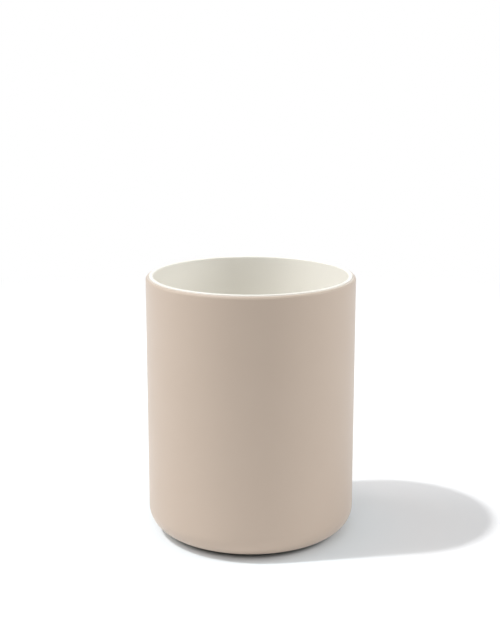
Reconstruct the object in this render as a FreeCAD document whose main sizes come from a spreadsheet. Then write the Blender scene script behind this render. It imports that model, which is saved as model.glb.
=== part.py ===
"""Round two-walled tumbler for toothbrushes: an outer shell with a lift-out inner cup.

Origin: centre of the face that the foot rests on. +Z: up, along the tumbler's axis. Millimetres.
"""
import FreeCAD, Part
import Sketcher
import os

# Driving dimensions, as the cells of the spreadsheet

SIZES = {
    "overall_height": 101.2,
    "shell_radius": 40.0,
    "shell_wall": 1.6,
    "shell_floor": 1.8,
    "shell_corner": 8.8,
    "floor_gap": 1.2,
    "ledge_width": 0.4,
    "rebate_depth": 3.0,
    "rim_round_share": 0.95,
    "cap_inset": 0.3,
    "cap_flange_width": 2.4,
    "cap_flange": 1.4,
    "cap_fit": 0.1,
    "cap_plate": 1.6,
    "cap_round": 0.4,
    "centring_wall": 1.4,
    "gusset_count": 6,
    "gusset_reach": 4.7,
    "gusset_width": 1.2,
    "gusset_height": 1.2,
    "vent_radius": 1.5,
    "foot_margin": 1.4,
    "foot_width": 5.0,
    "groove_depth": 1.0,
    "foot_round": 0.5,
    "lip_rise": 0.35,
    "lip_clearance": 0.1,
    "lip_round_share": 0.5,
    "lip_edge_share": 0.2,
    "cup_clearance": 0.2,
    "cup_wall": 1.05,
    "cup_taper": 1.2,
    "cup_floor": 1.6,
    "cup_corner": 6.0,
    "stand_width": 1.4,
    "stand_height": 1.8,
    "stand_clearance": 0.3,
    "seal_thickness": 0.9,
    "seal_clearance": 0.05,
    "seal_side_play": 0.1,
    "seal_height_share": 0.4,
}

# Places that several pieces share, worked out from those dimensions

SHELL_TOP = "(sizes.overall_height - sizes.lip_rise)"
LEDGE = f"({SHELL_TOP} - sizes.rebate_depth)"
BORE = "(sizes.shell_radius - sizes.shell_wall)"
REBATE = f"({BORE} + sizes.ledge_width)"
SHELL_FLOOR_TOP = "(sizes.floor_gap + sizes.shell_floor)"
FLAT_RADIUS = "(sizes.shell_radius - sizes.shell_corner)"
CAP_TOP = f"({SHELL_FLOOR_TOP} + sizes.cap_flange)"
CAP_RADIUS = f"({FLAT_RADIUS} - sizes.cap_inset)"
OPENING = f"({CAP_RADIUS} - sizes.cap_flange_width)"
PLUG = f"({OPENING} - sizes.cap_fit)"
FOOT_OUTSIDE = f"({PLUG} - sizes.foot_margin)"
FOOT_INSIDE = f"({FOOT_OUTSIDE} - sizes.foot_width)"
GROOVE_TOP = "(sizes.floor_gap + sizes.groove_depth)"
CENTRING_OUTSIDE = f"({CAP_RADIUS} - sizes.gusset_reach)"
CENTRING_INSIDE = f"({CENTRING_OUTSIDE} - sizes.centring_wall)"
STAND_OUTSIDE = f"({CENTRING_INSIDE} - sizes.stand_clearance)"
STAND_BOTTOM = f"({CAP_TOP} + sizes.stand_clearance)"
CUP_BOTTOM = f"({STAND_BOTTOM} + sizes.stand_height)"
CUP_FLOOR_TOP = f"({CUP_BOTTOM} + sizes.cup_floor)"
CUP_OUTSIDE = f"({BORE} - sizes.cup_clearance)"
CUP_INSIDE = f"({CUP_OUTSIDE} - sizes.cup_wall)"
LIP_OUTSIDE = f"({REBATE} - sizes.lip_clearance)"
SEAL_OUTSIDE = f"({REBATE} - sizes.seal_clearance)"
SEAL_MIDDLE = f"({LEDGE} + sizes.rebate_depth * sizes.seal_height_share)"

doc = FreeCAD.newDocument("tumbler")
sheet = doc.addObject("Spreadsheet::Sheet", "sizes")
for row, (alias, number) in enumerate(SIZES.items(), start=1):
    sheet.set(f"A{row}", alias)
    sheet.set(f"B{row}", str(number))
    sheet.setAlias(f"B{row}", alias)
doc.recompute()


def value(expression):
    """The number that an expression of the sheet's cells gives."""
    return float(sheet.evalExpression(expression))


def origin_plane(body, role):
    """One of the body's own origin planes."""
    return next(item for item in body.Origin.OriginFeatures if item.Role == role)


def new_body(label):
    """An empty body for one sub-part."""
    body = doc.addObject("PartDesign::Body", label)
    body.Label = label
    return body


def new_sketch(body, name, role):
    """An empty sketch on one of the body's origin planes."""
    sketch = body.newObject("Sketcher::SketchObject", name)
    sketch.AttachmentSupport = [(origin_plane(body, role), "")]
    sketch.MapMode = "FlatFace"
    return sketch


def bind(sketch, kind, index, name, expression):
    """Ties a corner's distance from the sketch's origin along one axis to an expression."""
    constraint = Sketcher.Constraint(kind, -1, 1, index, 1, value(expression))
    number = sketch.addConstraint(constraint)
    sketch.renameConstraint(number, name)
    sketch.setExpression(f"Constraints.{name}", expression)


def outline(body, name, role, corners):
    """A closed outline of straight lines, with both coordinates of each corner bound to the sheet."""
    sketch = new_sketch(body, name, role)
    points = [FreeCAD.Vector(value(across), value(up), 0) for across, up in corners]
    count = len(points)
    for index in range(count):
        sketch.addGeometry(Part.LineSegment(points[index], points[(index + 1) % count]))
    for index in range(count):
        sketch.addConstraint(Sketcher.Constraint("Coincident", index, 2, (index + 1) % count, 1))
    for index, (across, up) in enumerate(corners):
        bind(sketch, "DistanceX", index, f"across_{index}", across)
        bind(sketch, "DistanceY", index, f"up_{index}", up)
    doc.recompute()
    return sketch


def turned(body, name, corners):
    """A full turn of an outline of (radius, height) corners about the tumbler's axis."""
    sketch = outline(body, f"{name}_outline", "XZ_Plane", corners)
    feature = body.newObject("PartDesign::Revolution", name)
    feature.Profile = sketch
    feature.ReferenceAxis = (sketch, ["V_Axis"])
    feature.Angle = 360
    doc.recompute()
    return feature


def rim_edges(feature, places):
    """Names of the circular edges at the given (radius, height) places."""
    names = []
    for radius, height in places:
        for number, edge in enumerate(feature.Shape.Edges, start=1):
            curve = edge.Curve
            if not isinstance(curve, Part.Circle):
                continue
            off = max(abs(curve.Radius - value(radius)), abs(curve.Center.z - value(height)))
            if off < Part.Precision.approximation():
                names.append(f"Edge{number}")
    if len(names) != len(places):
        raise RuntimeError(f"{feature.Label}: {len(names)} edges found for {len(places)} places")
    return names


def rounded(body, base, name, expression, places):
    """Rounds the circular edges at the given places with one radius."""
    feature = body.newObject("PartDesign::Fillet", name)
    feature.Base = (base, rim_edges(base, places))
    feature.setExpression("Radius", expression)
    doc.recompute()
    return feature


def outer_shell():
    """Straight wall with a large bottom corner, an opening in its floor and a rebate in its rim."""
    body = new_body("outer_shell")
    wall = turned(body, "shell_wall_and_floor", [
        (OPENING, "sizes.floor_gap"),
        ("sizes.shell_radius", "sizes.floor_gap"),
        ("sizes.shell_radius", SHELL_TOP),
        (REBATE, SHELL_TOP),
        (REBATE, LEDGE),
        (BORE, LEDGE),
        (BORE, SHELL_FLOOR_TOP),
        (OPENING, SHELL_FLOOR_TOP),
    ])
    corner = rounded(body, wall, "shell_outer_corner", "sizes.shell_corner",
                     [("sizes.shell_radius", "sizes.floor_gap")])
    inner = rounded(body, corner, "shell_inner_corner", "sizes.shell_corner - sizes.shell_wall",
                    [(BORE, SHELL_FLOOR_TOP)])
    rounded(body, inner, "shell_rim_round", f"(sizes.shell_radius - {REBATE}) * sizes.rim_round_share",
            [("sizes.shell_radius", SHELL_TOP)])
    return body


def base_cap():
    """Plate that closes the shell's floor, with a groove for the foot and a ring that centres the cup."""
    body = new_body("base_cap")
    plate_top = "(sizes.floor_gap + sizes.cap_plate)"
    dish = f"({FOOT_INSIDE} - sizes.centring_wall)"
    ring_top = f"({CAP_TOP} + sizes.stand_height)"
    plate = turned(body, "cap_plate_and_flange", [
        ("sizes.vent_radius", "sizes.floor_gap"),
        (FOOT_INSIDE, "sizes.floor_gap"),
        (FOOT_INSIDE, GROOVE_TOP),
        (FOOT_OUTSIDE, GROOVE_TOP),
        (FOOT_OUTSIDE, "sizes.floor_gap"),
        (PLUG, "sizes.floor_gap"),
        (PLUG, SHELL_FLOOR_TOP),
        (CAP_RADIUS, SHELL_FLOOR_TOP),
        (CAP_RADIUS, CAP_TOP),
        (CENTRING_OUTSIDE, CAP_TOP),
        (CENTRING_OUTSIDE, ring_top),
        (CENTRING_INSIDE, ring_top),
        (CENTRING_INSIDE, CAP_TOP),
        (dish, CAP_TOP),
        (dish, plate_top),
        ("sizes.vent_radius", plate_top),
    ])
    rounded(body, plate, "cap_ring_round", "sizes.cap_round",
            [(CENTRING_OUTSIDE, ring_top), (CENTRING_INSIDE, ring_top)])
    inside = f"({CENTRING_OUTSIDE} - sizes.centring_wall / 2)"
    gusset = outline(body, "gusset_outline", "XZ_Plane", [
        (inside, CAP_TOP),
        (f"({CAP_RADIUS} - sizes.cap_round)", CAP_TOP),
        (inside, f"({CAP_TOP} + sizes.gusset_height)"),
    ])
    pad = body.newObject("PartDesign::Pad", "gusset")
    pad.Profile = gusset
    pad.Midplane = True
    pad.setExpression("Length", "sizes.gusset_width")
    doc.recompute()
    spread = body.newObject("PartDesign::PolarPattern", "gussets")
    spread.Originals = [pad]
    spread.Axis = (gusset, ["V_Axis"])
    spread.Angle = 360
    spread.setExpression("Occurrences", "sizes.gusset_count")
    body.Tip = spread
    doc.recompute()
    return body


def foot_ring():
    """Soft ring set in the cap's groove. The tumbler stands on it."""
    body = new_body("foot_ring")
    ring = turned(body, "foot_section", [
        (FOOT_INSIDE, "0"),
        (FOOT_OUTSIDE, "0"),
        (FOOT_OUTSIDE, GROOVE_TOP),
        (FOOT_INSIDE, GROOVE_TOP),
    ])
    rounded(body, ring, "foot_edge_round", "sizes.foot_round", [(FOOT_INSIDE, "0"), (FOOT_OUTSIDE, "0")])
    return body


def inner_cup():
    """Thin tapered cup that hangs in the shell from its collar and can stand by itself."""
    body = new_body("inner_cup")
    floor_inside = f"({CUP_INSIDE} - sizes.cup_taper)"
    floor_outside = f"({CUP_OUTSIDE} - sizes.cup_taper)"
    stand_inside = f"({STAND_OUTSIDE} - sizes.stand_width)"
    groove_bottom = f"({SEAL_OUTSIDE} - sizes.seal_thickness)"
    half_groove = "(sizes.seal_thickness / 2 + sizes.seal_side_play)"
    wall = turned(body, "cup_wall_and_floor", [
        ("0", CUP_BOTTOM),
        (stand_inside, CUP_BOTTOM),
        (stand_inside, STAND_BOTTOM),
        (STAND_OUTSIDE, STAND_BOTTOM),
        (STAND_OUTSIDE, CUP_BOTTOM),
        (floor_outside, CUP_BOTTOM),
        (CUP_OUTSIDE, LEDGE),
        (LIP_OUTSIDE, LEDGE),
        (LIP_OUTSIDE, f"({SEAL_MIDDLE} - {half_groove})"),
        (groove_bottom, f"({SEAL_MIDDLE} - {half_groove})"),
        (groove_bottom, f"({SEAL_MIDDLE} + {half_groove})"),
        (LIP_OUTSIDE, f"({SEAL_MIDDLE} + {half_groove})"),
        (LIP_OUTSIDE, "sizes.overall_height"),
        (CUP_INSIDE, "sizes.overall_height"),
        (floor_inside, CUP_FLOOR_TOP),
        ("0", CUP_FLOOR_TOP),
    ])
    inside = rounded(body, wall, "cup_inner_corner", "sizes.cup_corner", [(floor_inside, CUP_FLOOR_TOP)])
    outside = rounded(body, inside, "cup_outer_corner", "sizes.cup_corner + sizes.cup_wall",
                      [(floor_outside, CUP_BOTTOM)])
    lip_width = f"({LIP_OUTSIDE} - {CUP_INSIDE})"
    lip = rounded(body, outside, "cup_lip_round", f"{lip_width} * sizes.lip_round_share",
                  [(CUP_INSIDE, "sizes.overall_height")])
    rounded(body, lip, "cup_lip_edge", f"{lip_width} * sizes.lip_edge_share",
            [(LIP_OUTSIDE, "sizes.overall_height")])
    return body


def seal_ring():
    """Round-section ring in the collar's groove. It closes the joint between cup and shell."""
    body = new_body("seal_ring")
    middle = f"({SEAL_OUTSIDE} - sizes.seal_thickness / 2)"
    sketch = new_sketch(body, "seal_section", "XZ_Plane")
    centre = FreeCAD.Vector(value(middle), value(SEAL_MIDDLE), 0)
    up = FreeCAD.Vector(0, 0, 1)
    sketch.addGeometry(Part.Circle(centre, up, value("sizes.seal_thickness / 2")))
    across = sketch.addConstraint(Sketcher.Constraint("DistanceX", -1, 1, 0, 3, value(middle)))
    height = sketch.addConstraint(Sketcher.Constraint("DistanceY", -1, 1, 0, 3, value(SEAL_MIDDLE)))
    size = sketch.addConstraint(Sketcher.Constraint("Diameter", 0, value("sizes.seal_thickness")))
    for number, name, expression in (
        (across, "across", middle),
        (height, "up", SEAL_MIDDLE),
        (size, "section", "sizes.seal_thickness"),
    ):
        sketch.renameConstraint(number, name)
        sketch.setExpression(f"Constraints.{name}", expression)
    doc.recompute()
    ring = body.newObject("PartDesign::Revolution", "seal")
    ring.Profile = sketch
    ring.ReferenceAxis = (sketch, ["V_Axis"])
    ring.Angle = 360
    doc.recompute()
    return body


SUB_PARTS = [outer_shell(), base_cap(), foot_ring(), inner_cup(), seal_ring()]
doc.recompute()

for item in doc.Objects:
    if "Invalid" in item.State or "Error" in item.State:
        raise RuntimeError(f"{item.Label} failed: {item.State}")

for body in SUB_PARTS:
    if body.Shape.isNull() or not body.Shape.isValid() or len(body.Shape.Solids) != 1:
        raise RuntimeError(f"{body.Label} isn't one valid solid")

os.makedirs("parts", exist_ok=True)
for body in SUB_PARTS:
    body.Shape.exportStep(os.path.join("parts", f"{body.Label}.step"))
    box = body.Shape.BoundBox
    print(f"{body.Label}: {body.Shape.Volume:.1f} mm3, height {box.ZMin:.2f} to {box.ZMax:.2f}")
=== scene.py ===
"""Finishes, floor, light and camera for a two-walled bathroom tumbler.

Lengths are in metres in the part's frame: the origin is the centre of the foot's resting face and
+Z is up the tumbler's axis. Every piece is a profile of radius and height turned about that axis.
"""

import math

import bpy
import numpy as np
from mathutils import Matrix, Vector


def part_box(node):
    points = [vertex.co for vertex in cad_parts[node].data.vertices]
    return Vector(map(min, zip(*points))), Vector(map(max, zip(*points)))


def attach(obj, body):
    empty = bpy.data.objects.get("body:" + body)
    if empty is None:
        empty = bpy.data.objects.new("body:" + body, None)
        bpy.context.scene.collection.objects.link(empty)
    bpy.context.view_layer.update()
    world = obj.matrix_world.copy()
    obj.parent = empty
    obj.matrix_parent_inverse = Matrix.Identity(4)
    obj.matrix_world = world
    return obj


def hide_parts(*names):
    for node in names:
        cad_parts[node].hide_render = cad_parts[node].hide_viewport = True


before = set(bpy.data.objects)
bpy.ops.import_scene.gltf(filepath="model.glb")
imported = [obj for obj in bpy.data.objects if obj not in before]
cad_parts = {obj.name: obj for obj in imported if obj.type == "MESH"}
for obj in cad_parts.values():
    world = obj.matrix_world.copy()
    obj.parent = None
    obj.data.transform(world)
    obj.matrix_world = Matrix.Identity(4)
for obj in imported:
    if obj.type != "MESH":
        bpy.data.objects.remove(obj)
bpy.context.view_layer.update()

MM = 0.001

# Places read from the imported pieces

SHELL_LOW, SHELL_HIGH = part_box("outer_shell")
CUP_LOW, CUP_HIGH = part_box("inner_cup")
CAP_LOW, CAP_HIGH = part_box("base_cap")
FOOT_LOW, FOOT_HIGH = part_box("foot_ring")
SEAL_LOW, SEAL_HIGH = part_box("seal_ring")

SHELL_RADIUS = min(SHELL_HIGH[0], -SHELL_LOW[0])
SHELL_BOTTOM = SHELL_LOW[2]
SHELL_TOP = SHELL_HIGH[2]
CUP_TOP = CUP_HIGH[2]
LIP_RADIUS = CUP_HIGH[0]
STAND_BOTTOM = CUP_LOW[2]
CAP_RADIUS = CAP_HIGH[0]
RING_TOP = CAP_HIGH[2]
FOOT_RADIUS = FOOT_HIGH[0]
GROOVE_TOP = FOOT_HIGH[2]
SEAL_RADIUS = SEAL_HIGH[0]
SEAL_HALF = (SEAL_HIGH[2] - SEAL_LOW[2]) / 2
SEAL_MIDDLE = (SEAL_HIGH[2] + SEAL_LOW[2]) / 2

# Sizes of the shell

SHELL_WALL = 1.6 * MM
SHELL_FLOOR = 1.8 * MM
SHELL_CORNER = 8.8 * MM
LEDGE_WIDTH = 0.4 * MM
REBATE_DEPTH = 3.0 * MM
RIM_ROUND = 1.14 * MM
EDGE_BREAK = 0.05 * MM

# Sizes of the base cap and the foot

CAP_FLANGE_WIDTH = 2.4 * MM
CAP_FLANGE = 1.4 * MM
CAP_FIT = 0.1 * MM
CAP_PLATE = 1.6 * MM
CAP_ROUND = 0.35 * MM
CENTRING_WALL = 1.4 * MM
GUSSET_COUNT = 6
GUSSET_REACH = 4.7 * MM
GUSSET_WIDTH = 1.2 * MM
GUSSET_HEIGHT = 1.2 * MM
VENT_RADIUS = 1.5 * MM
FOOT_WIDTH = 5.0 * MM
FOOT_ROUND = 0.5 * MM

# Sizes of the cup

CUP_CLEARANCE = 0.2 * MM
CUP_WALL = 1.05 * MM
CUP_TAPER = 1.2 * MM
CUP_FLOOR = 1.6 * MM
CUP_CORNER = 6.0 * MM
LIP_ROUND = 0.5 * MM
LIP_EDGE = 0.25 * MM
STAND_WIDTH = 1.4 * MM
STAND_HEIGHT = 1.8 * MM
STAND_CLEARANCE = 0.3 * MM
GATE_RADIUS = 1.6 * MM
GATE_DEPTH = 0.15 * MM
SEAL_SIDE_PLAY = 0.1 * MM

# Places worked out from them

BORE = SHELL_RADIUS - SHELL_WALL
REBATE = BORE + LEDGE_WIDTH
LEDGE = SHELL_TOP - REBATE_DEPTH
SHELL_FLOOR_TOP = SHELL_BOTTOM + SHELL_FLOOR
OPENING = CAP_RADIUS - CAP_FLANGE_WIDTH
CAP_TOP = SHELL_FLOOR_TOP + CAP_FLANGE
CENTRING_OUTSIDE = CAP_RADIUS - GUSSET_REACH
CENTRING_INSIDE = CENTRING_OUTSIDE - CENTRING_WALL
FOOT_INSIDE = FOOT_RADIUS - FOOT_WIDTH
CUP_OUTSIDE = BORE - CUP_CLEARANCE
CUP_INSIDE = CUP_OUTSIDE - CUP_WALL
CUP_BOTTOM = STAND_BOTTOM + STAND_HEIGHT
CUP_FLOOR_TOP = CUP_BOTTOM + CUP_FLOOR
STAND_OUTSIDE = CENTRING_INSIDE - STAND_CLEARANCE

# How finely the turned pieces are divided

TURN_STEPS = 288
ARC_STEPS = 12
SEAL_STEPS = 36
LONGEST_SIDE = 3.0 * MM
SHARP_ANGLE = math.radians(40)


# Turned pieces


def rounded_corner(before, corner, after, radius):
    """Points of the arc that rounds one corner of an outline.

    The arc touches both sides at radius / tan(half the corner's angle) from the corner, and its
    points are its centre plus a radius turned evenly from the first touching point to the second.
    """
    if radius == 0:
        return corner[None, :]
    back = (before - corner) / np.linalg.norm(before - corner)
    ahead = (after - corner) / np.linalg.norm(after - corner)
    half = math.acos(np.clip(back @ ahead, -1, 1)) / 2
    middle = (back + ahead) / np.linalg.norm(back + ahead)
    centre = corner + middle * radius / math.sin(half)
    first = corner + back * radius / math.tan(half) - centre
    last = corner + ahead * radius / math.tan(half) - centre
    start = math.atan2(first[1], first[0])
    sweep = (math.atan2(last[1], last[0]) - start + math.pi) % math.tau - math.pi
    turn = start + sweep * np.linspace(0, 1, ARC_STEPS + 1)
    return centre + radius * np.stack([np.cos(turn), np.sin(turn)], axis=1)


def divided(points):
    """The same outline with every side cut into equal pieces no longer than LONGEST_SIDE."""
    runs = []
    for start, end in zip(points[:-1], points[1:]):
        pieces = max(1, math.ceil(np.linalg.norm(end - start) / LONGEST_SIDE))
        runs.append(start + (end - start) * np.linspace(0, 1, pieces, endpoint=False)[:, None])
    return np.concatenate(runs + [points[-1:]])


def outline(corners, closed):
    """Outline through (radius, height, rounding) corners, closed or ending on the axis."""
    places = np.array([corner[:2] for corner in corners])
    rounds = [corner[2] if len(corner) > 2 else 0 for corner in corners]
    count = len(places)
    arcs = [
        rounded_corner(places[index - 1], places[index], places[(index + 1) % count], rounds[index])
        for index in range(count)
    ]
    points = np.concatenate(arcs)
    if closed:
        return divided(np.concatenate([points, points[:1]]))[:-1]
    return divided(points)


def turned_surface(points, closed):
    """Vertices and faces of an outline turned about the Z axis.

    A vertex is (radius cos a, radius sin a, height) for every outline point and every angle a. A
    closed outline joins its last row to its first. An open one starts and ends on the axis, where a
    fan of triangles round a single vertex closes it. An outline that runs anticlockwise, with
    radius to the right and height up, gives faces that point outwards.
    """
    angles = math.tau * np.arange(TURN_STEPS) / TURN_STEPS
    rows = points if closed else points[1:-1]
    ring = np.stack([np.cos(angles), np.sin(angles)], axis=1)
    vertices = np.empty((len(rows), TURN_STEPS, 3))
    vertices[:, :, :2] = rows[:, None, :1] * ring[None, :, :]
    vertices[:, :, 2] = rows[:, None, 1]
    number = np.arange(len(rows) * TURN_STEPS).reshape(len(rows), TURN_STEPS)
    outside_painted_shade = np.roll(number, -1, axis=1)
    above = np.roll(number, -1, axis=0)
    above_beside = np.roll(above, -1, axis=1)
    quads = np.stack([number, outside_painted_shade, above_beside, above], axis=2)
    quads = quads if closed else quads[:-1]
    vertices = vertices.reshape(-1, 3)
    faces = quads.reshape(-1, 4).tolist()
    if closed:
        return vertices, faces
    poles = np.array([[0, 0, points[0][1]], [0, 0, points[-1][1]]])
    first = np.full(TURN_STEPS, len(vertices))
    last = first + 1
    faces += np.stack([first, outside_painted_shade[0], number[0]], axis=1).tolist()
    faces += np.stack([last, number[-1], outside_painted_shade[-1]], axis=1).tolist()
    return np.concatenate([vertices, poles]), faces


def new_piece(name, surfaces, body, node):
    """One mesh of one or more closed surfaces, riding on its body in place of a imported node."""
    vertices = []
    faces = []
    offset = 0
    for surface_vertices, surface_faces in surfaces:
        vertices.append(surface_vertices)
        faces += [[index + offset for index in face] for face in surface_faces]
        offset += len(surface_vertices)
    mesh = bpy.data.meshes.new(name)
    mesh.from_pydata(np.concatenate(vertices).tolist(), [], faces)
    mesh.polygons.foreach_set("use_smooth", np.ones(len(mesh.polygons), dtype=bool))
    mesh.set_sharp_from_angle(angle=SHARP_ANGLE)
    mesh.update()
    piece = bpy.data.objects.new(name, mesh)
    bpy.context.scene.collection.objects.link(piece)
    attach(piece, body)
    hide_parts(node)
    return piece


def shell_piece():
    """Beige wall, rounded bottom corner and rim, and the rebate that carries the cup's collar."""
    corners = [
        (OPENING, SHELL_BOTTOM, EDGE_BREAK),
        (SHELL_RADIUS, SHELL_BOTTOM, SHELL_CORNER),
        (SHELL_RADIUS, SHELL_TOP, RIM_ROUND),
        (REBATE, SHELL_TOP, EDGE_BREAK),
        (REBATE, LEDGE, EDGE_BREAK),
        (BORE, LEDGE, EDGE_BREAK),
        (BORE, SHELL_FLOOR_TOP, SHELL_CORNER - SHELL_WALL),
        (OPENING, SHELL_FLOOR_TOP, EDGE_BREAK),
    ]
    surfaces = [turned_surface(outline(corners, True), True)]
    return new_piece("shell", surfaces, "shell", "outer_shell")


def gusset(angle):
    """One rib of the base cap: a sloping prism from the centring ring out to the flange's edge.

    Its side view is four (radius, height) points, set half its width to each side of the plane at
    that angle round the axis.
    """
    half = GUSSET_WIDTH / 2
    inside = CENTRING_OUTSIDE - CENTRING_WALL / 2
    side = np.array([
        (inside, CAP_TOP - CAP_ROUND),
        (CAP_RADIUS - CAP_ROUND, CAP_TOP - CAP_ROUND),
        (CAP_RADIUS - CAP_ROUND, CAP_TOP),
        (inside, CAP_TOP + GUSSET_HEIGHT),
    ])
    turn = np.array([[math.cos(angle), math.sin(angle)], [-math.sin(angle), math.cos(angle)]])
    radius, height = side[:, 0], side[:, 1]
    near = np.column_stack([radius, np.full(len(side), -half)]) @ turn
    far = np.column_stack([radius, np.full(len(side), half)]) @ turn
    vertices = np.concatenate([np.column_stack([near, height]), np.column_stack([far, height])])
    faces = [[0, 1, 2, 3], [7, 6, 5, 4], [1, 0, 4, 5], [2, 1, 5, 6], [3, 2, 6, 7], [0, 3, 7, 4]]
    return vertices, faces


def cap_piece():
    """Moulded plate under the cup, with the foot's groove, the centring ring, ribs and the vent."""
    plate_top = SHELL_BOTTOM + CAP_PLATE
    plug = OPENING - CAP_FIT
    dish = FOOT_INSIDE - CENTRING_WALL
    corners = [
        (VENT_RADIUS, SHELL_BOTTOM, EDGE_BREAK),
        (FOOT_INSIDE, SHELL_BOTTOM, EDGE_BREAK),
        (FOOT_INSIDE, GROOVE_TOP),
        (FOOT_RADIUS, GROOVE_TOP),
        (FOOT_RADIUS, SHELL_BOTTOM, EDGE_BREAK),
        (plug, SHELL_BOTTOM, EDGE_BREAK),
        (plug, SHELL_FLOOR_TOP),
        (CAP_RADIUS, SHELL_FLOOR_TOP),
        (CAP_RADIUS, CAP_TOP, CAP_ROUND),
        (CENTRING_OUTSIDE, CAP_TOP, EDGE_BREAK),
        (CENTRING_OUTSIDE, RING_TOP, CAP_ROUND),
        (CENTRING_INSIDE, RING_TOP, CAP_ROUND),
        (CENTRING_INSIDE, CAP_TOP, EDGE_BREAK),
        (dish, CAP_TOP, CAP_ROUND),
        (dish, plate_top, CAP_ROUND),
        (VENT_RADIUS, plate_top, EDGE_BREAK),
    ]
    surfaces = [turned_surface(outline(corners, True), True)]
    surfaces += [gusset(math.tau * index / GUSSET_COUNT) for index in range(GUSSET_COUNT)]
    return new_piece("cap", surfaces, "shell", "base_cap")


def foot_piece():
    """Soft ring that the tumbler stands on, with worn-in round lower edges."""
    corners = [
        (FOOT_INSIDE, 0, FOOT_ROUND),
        (FOOT_RADIUS, 0, FOOT_ROUND),
        (FOOT_RADIUS, GROOVE_TOP, EDGE_BREAK),
        (FOOT_INSIDE, GROOVE_TOP, EDGE_BREAK),
    ]
    surfaces = [turned_surface(outline(corners, True), True)]
    return new_piece("foot", surfaces, "shell", "foot_ring")


def cup_piece():
    """Cream cup: rounded lip, collar with the seal's groove, tapered wall, floor, standing ring."""
    groove_bottom = SEAL_RADIUS - 2 * SEAL_HALF
    groove_low = SEAL_MIDDLE - SEAL_HALF - SEAL_SIDE_PLAY
    groove_high = SEAL_MIDDLE + SEAL_HALF + SEAL_SIDE_PLAY
    stand_inside = STAND_OUTSIDE - STAND_WIDTH
    corners = [
        (0, CUP_BOTTOM),
        (stand_inside, CUP_BOTTOM, EDGE_BREAK),
        (stand_inside, STAND_BOTTOM, CAP_ROUND),
        (STAND_OUTSIDE, STAND_BOTTOM, CAP_ROUND),
        (STAND_OUTSIDE, CUP_BOTTOM, EDGE_BREAK),
        (CUP_OUTSIDE - CUP_TAPER, CUP_BOTTOM, CUP_CORNER + CUP_WALL),
        (CUP_OUTSIDE, LEDGE, EDGE_BREAK),
        (LIP_RADIUS, LEDGE, EDGE_BREAK),
        (LIP_RADIUS, groove_low, EDGE_BREAK),
        (groove_bottom, groove_low),
        (groove_bottom, groove_high),
        (LIP_RADIUS, groove_high, EDGE_BREAK),
        (LIP_RADIUS, CUP_TOP, LIP_EDGE),
        (CUP_INSIDE, CUP_TOP, LIP_ROUND),
        (CUP_INSIDE - CUP_TAPER, CUP_FLOOR_TOP, CUP_CORNER),
        (GATE_RADIUS, CUP_FLOOR_TOP, EDGE_BREAK),
        (GATE_RADIUS - GATE_DEPTH, CUP_FLOOR_TOP - GATE_DEPTH, EDGE_BREAK),
        (0, CUP_FLOOR_TOP - GATE_DEPTH),
    ]
    surfaces = [turned_surface(outline(corners, False), False)]
    return new_piece("cup", surfaces, "cup", "inner_cup")


def seal_piece():
    """Round-section ring: every point is SEAL_HALF from a circle about the axis."""
    turn = math.tau * np.arange(SEAL_STEPS) / SEAL_STEPS
    middle = np.array([SEAL_RADIUS - SEAL_HALF, SEAL_MIDDLE])
    section = middle + SEAL_HALF * np.stack([np.cos(turn), np.sin(turn)], axis=1)
    return new_piece("seal", [turned_surface(section, True)], "cup", "seal_ring")


# Shader maths

# The Mix node's sockets for colours, which share their names with those for numbers
MIX_SHARE = 0
MIX_FIRST = 6
MIX_SECOND = 7
MIX_RESULT = 2


class Number:
    """A number on its way through a node tree. Arithmetic on it adds that tree's Math nodes."""

    def __init__(self, nodes, socket):
        self.nodes = nodes
        self.socket = socket

    def maths(self, operation, *values):
        """What a Math node makes of the values."""
        settings = {"operation": operation}
        return self.nodes.node("ShaderNodeMath", settings, dict(enumerate(values))).number("Value")

    def __add__(self, other):
        return self.maths("ADD", self, other)

    def __radd__(self, other):
        return self.maths("ADD", other, self)

    def __sub__(self, other):
        return self.maths("SUBTRACT", self, other)

    def __rsub__(self, other):
        return self.maths("SUBTRACT", other, self)

    def __mul__(self, other):
        return self.maths("MULTIPLY", self, other)

    def __rmul__(self, other):
        return self.maths("MULTIPLY", other, self)

    def __pow__(self, other):
        return self.maths("POWER", self, other)

    def __rpow__(self, other):
        return self.maths("POWER", other, self)

    def at_least(self, least):
        """The number, or the least where that is more."""
        return self.maths("MAXIMUM", self, least)

    def above(self, limit, width):
        """0 below the limit, 1 above it, with a smooth step that many units wide."""
        settings = {"interpolation_type": "SMOOTHSTEP"}
        values = {"Value": self, "From Min": limit - width / 2, "From Max": limit + width / 2}
        return self.nodes.node("ShaderNodeMapRange", settings, values).number("Result")


class Node:
    """A node of a tree, whose outputs are taken as numbers or as plain sockets."""

    def __init__(self, nodes, node):
        self.nodes = nodes
        self.node = node

    def number(self, output):
        """An output that shader maths goes on from."""
        return Number(self.nodes, self.node.outputs[output])

    def socket(self, output):
        """An output that is linked as it is, such as a colour, a vector or a shader."""
        return self.node.outputs[output]


class Nodes:
    """A node tree that starts empty."""

    def __init__(self, tree):
        self.tree = tree
        self.tree.nodes.clear()

    def node(self, kind, settings, values):
        """Adds a node, with its settings first and then the values or links of its sockets."""
        node = self.tree.nodes.new(kind)
        for name, setting in settings.items():
            setattr(node, name, setting)
        for name, value in values.items():
            self.feed(node.inputs[name], value)
        return Node(self, node)

    def feed(self, socket, value):
        """Links a socket to a number or a socket, or sets its value."""
        if isinstance(value, Number):
            self.tree.links.new(value.socket, socket)
        elif isinstance(value, bpy.types.NodeSocket):
            self.tree.links.new(value, socket)
        else:
            socket.default_value = value

    def shown(self):
        """1 for the camera's rays, also by way of gloss or glass, and 0 for those that light."""
        paths = self.node("ShaderNodeLightPath", {}, {})
        seen = paths.number("Is Camera Ray").at_least(paths.number("Is Glossy Ray"))
        return seen.at_least(paths.number("Is Transmission Ray"))


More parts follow.
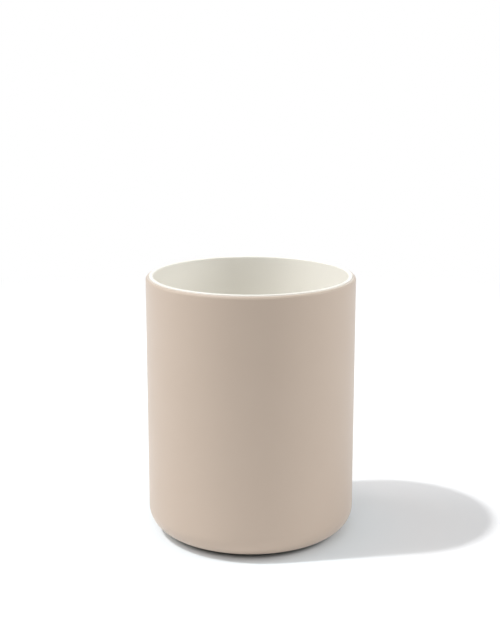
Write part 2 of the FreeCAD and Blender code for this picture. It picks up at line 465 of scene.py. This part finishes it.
class Finish(Nodes):
    """One material's node tree, ending in a Principled shader."""

    def __init__(self, name):
        self.material = bpy.data.materials.new(name)
        self.material.use_nodes = True
        super().__init__(self.material.node_tree)
        self.shader = self.node("ShaderNodeBsdfPrincipled", {}, {})
        surface = {"Surface": self.shader.socket("BSDF")}
        self.output = self.node("ShaderNodeOutputMaterial", {}, surface)
        self.place = self.node("ShaderNodeTexCoord", {}, {}).socket("Object")

    def set(self, **values):
        """Sets or links the shader's sockets, named with underscores for spaces."""
        for name, value in values.items():
            self.feed(self.shader.node.inputs[name.replace("_", " ")], value)

    def stretched(self, scale):
        """Object coordinates times a scale for each axis."""
        values = {"Vector": self.place, "Scale": scale}
        return self.node("ShaderNodeMapping", {}, values).socket("Vector")

    def noise(self, size, detail=2.0, roughness=0.5, place=None):
        """Smooth noise from 0 to 1 whose features are about that many metres across."""
        values = {"Vector": place or self.place, "Scale": 1 / size}
        values.update({"Detail": detail, "Roughness": roughness})
        return self.node("ShaderNodeTexNoise", {}, values).number(0)

    def cells(self, size):
        """Distance from 0 to about 1 to the nearest of scattered points that many metres apart."""
        values = {"Vector": self.place, "Scale": 1 / size}
        return self.node("ShaderNodeTexVoronoi", {}, values).number("Distance")

    def axes(self):
        """The object coordinates' X, Y and Z."""
        split = self.node("ShaderNodeSeparateXYZ", {}, {"Vector": self.place})
        return split.number("X"), split.number("Y"), split.number("Z")

    def from_axis(self):
        """Distance from the tumbler's axis."""
        x, y, _ = self.axes()
        return (x * x + y * y) ** 0.5

    def from_rounding(self):
        """Distance, outwards and down, from the ring that the shell's corner is rounded about.

        With r from the axis and z up, it is the root of max(r - ring's radius, 0) squared plus
        max(ring's height - z, 0) squared. So it is SHELL_CORNER all over the wall's outside, the
        corner and the underside, and less on the inside.
        """
        outwards = (self.from_axis() - (SHELL_RADIUS - SHELL_CORNER)).at_least(0)
        down = (SHELL_BOTTOM + SHELL_CORNER - self.axes()[2]).at_least(0)
        return (outwards * outwards + down * down) ** 0.5

    def mix(self, share, first, second):
        """First colour to second as the share goes from 0 to 1."""
        values = {MIX_SHARE: share, MIX_FIRST: first, MIX_SECOND: second}
        return self.node("ShaderNodeMix", {"data_type": "RGBA"}, values).socket(MIX_RESULT)

    def bump(self, height, depth):
        """A normal raised by that many metres where the height goes from 0 to 1."""
        values = {"Height": height, "Distance": depth, "Strength": 1.0}
        return self.node("ShaderNodeBump", {}, values).socket("Normal")

    def put_on(self, piece):
        """Makes this the only material of a piece."""
        piece.data.materials.clear()
        piece.data.materials.append(self.material)


def opaque(red, green, blue):
    """A colour with full alpha."""
    return (red, green, blue, 1.0)


# Finish of the shell

COAT_COLOUR = opaque(0.550, 0.451, 0.368)
COAT_SHADE = opaque(0.536, 0.436, 0.354)
COAT_CLOUD = {"size": 18 * MM, "detail": 3}
COAT_GRAIN = {"size": 0.35 * MM, "detail": 3, "roughness": 0.6}
COAT_PORES = 0.22 * MM
COAT_GRAIN_SHARE = 0.6
COAT_DEPTH = 0.012 * MM
COAT_ROUGHNESS = 0.5
COAT_CLOUD_ROUGHNESS = 0.05
COAT_SHEEN = 0.32
COAT_SHEEN_ROUGHNESS = 0.4
HANDLED = {"size": 30 * MM, "detail": 4, "roughness": 0.6}
HANDLED_FROM = 0.58
HANDLED_WIDTH = 0.12
HANDLED_POLISH = 0.04
# Paler colour of the strip on top of the rim: a painted highlight where the shoulder catches the
# light
RIM_HIGHLIGHT_COLOUR = opaque(0.66, 0.58, 0.50)
RIM_STRIP = 0.12 * RIM_ROUND
RIM_STRIP_WIDTH = 0.14 * RIM_ROUND
RIM_POLISH = 0.1
RAW_COLOUR = opaque(0.60, 0.53, 0.455)
RAW_DEPTH = 0.8 * SHELL_WALL


def soft_touch_finish():
    """Velvety coat: even colour with a faint cloudiness, a fine grain and a slight sheen.

    It is smoother in patches where hands hold it, and smoother in a narrow strip on top of the rim,
    whose paler colour there is a painted highlight. It leaves the shell's inside uncoated.
    """
    finish = Finish("soft_touch_coat")
    cloud = finish.noise(**COAT_CLOUD)
    handled = finish.noise(**HANDLED).above(HANDLED_FROM, HANDLED_WIDTH)
    grain = finish.noise(**COAT_GRAIN)
    pores = finish.cells(COAT_PORES)
    coat = finish.mix(cloud, COAT_COLOUR, COAT_SHADE)
    # Strip on top of the rim: smoother, and paler as a painted highlight
    rim = finish.axes()[2].above(SHELL_TOP - RIM_STRIP, RIM_STRIP_WIDTH)
    inside = 1 - finish.from_rounding().above(SHELL_CORNER - RAW_DEPTH, EDGE_BREAK)
    polish = HANDLED_POLISH * handled + RIM_POLISH * rim
    relief = grain * COAT_GRAIN_SHARE + pores * (1 - COAT_GRAIN_SHARE)
    finish.set(
        Base_Color=finish.mix(inside, finish.mix(rim, coat, RIM_HIGHLIGHT_COLOUR), RAW_COLOUR),
        Roughness=COAT_ROUGHNESS + COAT_CLOUD_ROUGHNESS * cloud - polish,
        Normal=finish.bump(relief, COAT_DEPTH),
        Sheen_Weight=COAT_SHEEN,
        Sheen_Roughness=COAT_SHEEN_ROUGHNESS,
    )
    return finish


# Finish of the cup

CREAM_COLOUR = opaque(0.922, 0.902, 0.838)
CREAM_SHADE = opaque(0.910, 0.886, 0.818)
CREAM_FLOW = {"size": 6 * MM, "detail": 3}
CREAM_FLOW_STRETCH = (1, 1, 0.12)
CREAM_CLOUD = {"size": 25 * MM, "detail": 2}
CREAM_SKIN = {"size": 0.8 * MM, "detail": 2}
CREAM_FLOW_SHARE = 0.7
CREAM_DEPTH = 0.02 * MM
CREAM_ROUGHNESS = 0.3
CREAM_FLOW_ROUGHNESS = 0.08


def cream_finish():
    """Smooth moulded plastic with very faint flow lines up the wall."""
    finish = Finish("cream_moulding")
    flow = finish.noise(place=finish.stretched(CREAM_FLOW_STRETCH), **CREAM_FLOW)
    cloud = finish.noise(**CREAM_CLOUD)
    skin = finish.noise(**CREAM_SKIN)
    relief = flow * CREAM_FLOW_SHARE + skin * (1 - CREAM_FLOW_SHARE)
    finish.set(
        Base_Color=finish.mix(cloud, CREAM_COLOUR, CREAM_SHADE),
        Roughness=CREAM_ROUGHNESS + CREAM_FLOW_ROUGHNESS * flow,
        Normal=finish.bump(relief, CREAM_DEPTH),
    )
    return finish


# Finish of the base cap

CAP_COLOUR = opaque(0.500, 0.412, 0.335)
CAP_SHADE = opaque(0.475, 0.388, 0.314)
CAP_PITS = 0.45 * MM
CAP_GRAIN = {"size": 0.3 * MM, "detail": 3}
CAP_CLOUD = {"size": 15 * MM, "detail": 2}
CAP_PITS_SHARE = 0.6
CAP_DEPTH = 0.04 * MM
CAP_ROUGHNESS = 0.55
CAP_GRAIN_ROUGHNESS = 0.12


def cap_finish():
    """Moulded plate with the even, pitted texture of a spark-cut mould."""
    finish = Finish("textured_moulding")
    pits = finish.cells(CAP_PITS)
    grain = finish.noise(**CAP_GRAIN)
    cloud = finish.noise(**CAP_CLOUD)
    relief = pits * CAP_PITS_SHARE + grain * (1 - CAP_PITS_SHARE)
    finish.set(
        Base_Color=finish.mix(cloud, CAP_COLOUR, CAP_SHADE),
        Roughness=CAP_ROUGHNESS + CAP_GRAIN_ROUGHNESS * grain,
        Normal=finish.bump(relief, CAP_DEPTH),
    )
    return finish


# Finish of the foot

RUBBER_COLOUR = opaque(0.030, 0.030, 0.031)
RUBBER_DUST_COLOUR = opaque(0.048, 0.047, 0.045)
RUBBER_DUST = {"size": 4 * MM, "detail": 4, "roughness": 0.6}
RUBBER_DUST_FROM = 0.55
RUBBER_DUST_WIDTH = 0.3
RUBBER_GRAIN = {"size": 0.25 * MM, "detail": 3}
RUBBER_DEPTH = 0.02 * MM
RUBBER_ROUGHNESS = 0.78
RUBBER_GRAIN_ROUGHNESS = 0.12
RUBBER_GLOSS = 0.35


def rubber_finish():
    """Dull soft rubber, dustier in patches where it has stood on a shelf."""
    finish = Finish("foot_rubber")
    dust = finish.noise(**RUBBER_DUST).above(RUBBER_DUST_FROM, RUBBER_DUST_WIDTH)
    grain = finish.noise(**RUBBER_GRAIN)
    finish.set(
        Base_Color=finish.mix(dust, RUBBER_COLOUR, RUBBER_DUST_COLOUR),
        Roughness=RUBBER_ROUGHNESS + RUBBER_GRAIN_ROUGHNESS * grain,
        Normal=finish.bump(grain, RUBBER_DEPTH),
        Specular_IOR_Level=RUBBER_GLOSS,
    )
    return finish


# Finish of the seal

SILICONE_COLOUR = opaque(0.74, 0.73, 0.69)
SILICONE_SHADE = opaque(0.66, 0.65, 0.61)
SILICONE_CLOUD = {"size": 3 * MM, "detail": 2}
SILICONE_DEPTH = 0.02 * MM
SILICONE_ROUGHNESS = 0.42
SILICONE_CLOUD_ROUGHNESS = 0.08


def silicone_finish():
    """Milky silicone with a soft cloudiness and a low swell."""
    finish = Finish("seal_silicone")
    cloud = finish.noise(**SILICONE_CLOUD)
    finish.set(
        Base_Color=finish.mix(cloud, SILICONE_COLOUR, SILICONE_SHADE),
        Roughness=SILICONE_ROUGHNESS + SILICONE_CLOUD_ROUGHNESS * cloud,
        Normal=finish.bump(cloud, SILICONE_DEPTH),
    )
    return finish


soft_touch_finish().put_on(shell_piece())
cap_finish().put_on(cap_piece())
rubber_finish().put_on(foot_piece())
cream_finish().put_on(cup_piece())
silicone_finish().put_on(seal_piece())

# Floor: its colours as it lights the tumbler, and as the camera sees it

WHITE = opaque(1.0, 1.0, 1.0)
FLOOR_HALF = 12.0
FLOOR_ROUGHNESS = 0.9
FLOOR_COLOUR = opaque(0.90, 0.90, 0.90)
FLOOR_FRONT_COLOUR = opaque(0.50, 0.50, 0.50)
FRONT_AT = 0.25
FRONT_WIDTH = 0.2
FLOOR_SEEN = opaque(0.955, 0.968, 0.985)
FLOOR_NEAR = opaque(0.895, 0.957, 1.0)
NEAR_AT = 0.055
NEAR_WIDTH = 0.04
# Painted shade: a dark disc under the tumbler that stands in for its contact shadow
FLOOR_PAINTED_SHADE = opaque(0.325, 0.352, 0.375)
PAINTED_SHADE_AT = 0.0325
PAINTED_SHADE_WIDTH = 0.005
FADE_AT = 0.42
FADE_WIDTH = 0.2

# Light and camera

SUN_TOWARDS = (-0.500, -0.088, 0.862)
SUN_STRENGTH = 1.35
SUN_WIDTH = math.radians(2.5)
PANELS = [
    ("left_panel", (-1.5, 0.0, 0.7), 6.9),
    ("high_panel", (-1.2, 0.0, 1.3), 5.5),
    ("right_panel", (1.5, 0.0, 0.7), 11.8),
    ("front_panel", (0.0, -1.5, 1.0), 5.0),
]
PANEL_SIDE = 1.0
PANEL_TARGET = Vector((0.0, 0.0, 0.05))
CEILING_STRENGTH = 0.58
CEILING_EDGE = 0.55
CEILING_FADE = 0.4
CAMERA_PLACE = (0.0, -0.480, 0.1957)
CAMERA_DOWN = math.radians(12.85)
CAMERA_TURN = math.radians(0.036)
CAMERA_LENS = 73.97


def floor_finish():
    """White paint that keeps the tumbler's shadow, and shows as plain white further out.

    It is painted dark under the tumbler, a painted contact shadow for the camera and for the light
    alike. Round the base it is a little cooler, against the warm light that the wall throws there.
    What it gives back to the tumbler is less in front, so that the wall's front stays in tone.
    """
    finish = Finish("floor_paint")
    seen = finish.shown()
    front = (0 - finish.axes()[1]).above(FRONT_AT, FRONT_WIDTH)
    lighting = finish.mix(front, FLOOR_COLOUR, FLOOR_FRONT_COLOUR)
    shown = finish.mix(finish.from_axis().above(NEAR_AT, NEAR_WIDTH), FLOOR_NEAR, FLOOR_SEEN)
    # Painted shade under the tumbler: 0 inside the dark disc, 1 outside it
    outside_painted_shade = finish.from_axis().above(PAINTED_SHADE_AT, PAINTED_SHADE_WIDTH)
    finish.set(
        Base_Color=finish.mix(outside_painted_shade, FLOOR_PAINTED_SHADE, finish.mix(seen, lighting, shown)),
        Roughness=FLOOR_ROUGHNESS,
        Specular_IOR_Level=0.0,
    )
    white = finish.node("ShaderNodeEmission", {}, {"Color": WHITE, "Strength": 1.0})
    far = finish.from_axis().above(FADE_AT, FADE_WIDTH) * seen
    # The Mix Shader's inputs are the share, then the two shaders, whose names are alike
    paint = finish.shader.socket("BSDF")
    blend = finish.node("ShaderNodeMixShader", {}, {0: far, 1: paint, 2: white.socket("Emission")})
    finish.feed(finish.output.node.inputs["Surface"], blend.socket("Shader"))
    return finish


def floor():
    """A wide pale floor that is pure white to the camera where nothing shades it."""
    corners = FLOOR_HALF * np.array([(-1, -1, 0), (1, -1, 0), (1, 1, 0), (-1, 1, 0)])
    mesh = bpy.data.meshes.new("floor")
    mesh.from_pydata(corners.tolist(), [], [[0, 1, 2, 3]])
    piece = bpy.data.objects.new("floor", mesh)
    bpy.context.scene.collection.objects.link(piece)
    floor_finish().put_on(piece)


def lamp(name, kind, strength, towards, place=(0, 0, 0)):
    """A lamp that shines away from the direction given, with nothing of it seen by the camera."""
    data = bpy.data.lights.new(name, kind)
    data.energy = strength
    piece = bpy.data.objects.new(name, data)
    piece.location = place
    piece.rotation_mode = "QUATERNION"
    piece.rotation_quaternion = Vector(towards).to_track_quat("Z", "Y")
    piece.visible_camera = False
    bpy.context.scene.collection.objects.link(piece)
    return data


def light():
    """A high sun from the left, four square soft panels, and a ceiling that fills the shadows."""
    lamp("key", "SUN", SUN_STRENGTH, SUN_TOWARDS).angle = SUN_WIDTH
    for name, place, strength in PANELS:
        lamp(name, "AREA", strength, Vector(place) - PANEL_TARGET, place).size = PANEL_SIDE
    room()


def room():
    """A white ceiling that fades out towards the horizon.

    The camera and reflections see plain white in its place.
    """
    world = bpy.data.worlds.new("room")
    world.use_nodes = True
    bpy.context.scene.world = world
    nodes = Nodes(world.node_tree)
    seen = nodes.shown()
    direction = nodes.node("ShaderNodeTexCoord", {}, {}).socket("Generated")
    height = nodes.node("ShaderNodeSeparateXYZ", {}, {"Vector": direction}).number("Z")
    ceiling = height.above(CEILING_EDGE, CEILING_FADE) * CEILING_STRENGTH
    strength = ceiling * (1 - seen) + seen
    background = nodes.node("ShaderNodeBackground", {}, {"Color": WHITE, "Strength": strength})
    nodes.node("ShaderNodeOutputWorld", {}, {"Surface": background.socket("Background")})


def camera():
    """A camera at the photograph's place, looking a little down at the tumbler."""
    data = bpy.data.cameras.new("camera")
    data.lens = CAMERA_LENS
    view = bpy.data.objects.new("camera", data)
    view.location = CAMERA_PLACE
    view.rotation_euler = (math.pi / 2 - CAMERA_DOWN, 0, CAMERA_TURN)
    bpy.context.scene.collection.objects.link(view)
    bpy.context.scene.camera = view


floor()
light()
camera()
bpy.context.scene.view_settings.view_transform = "Standard"
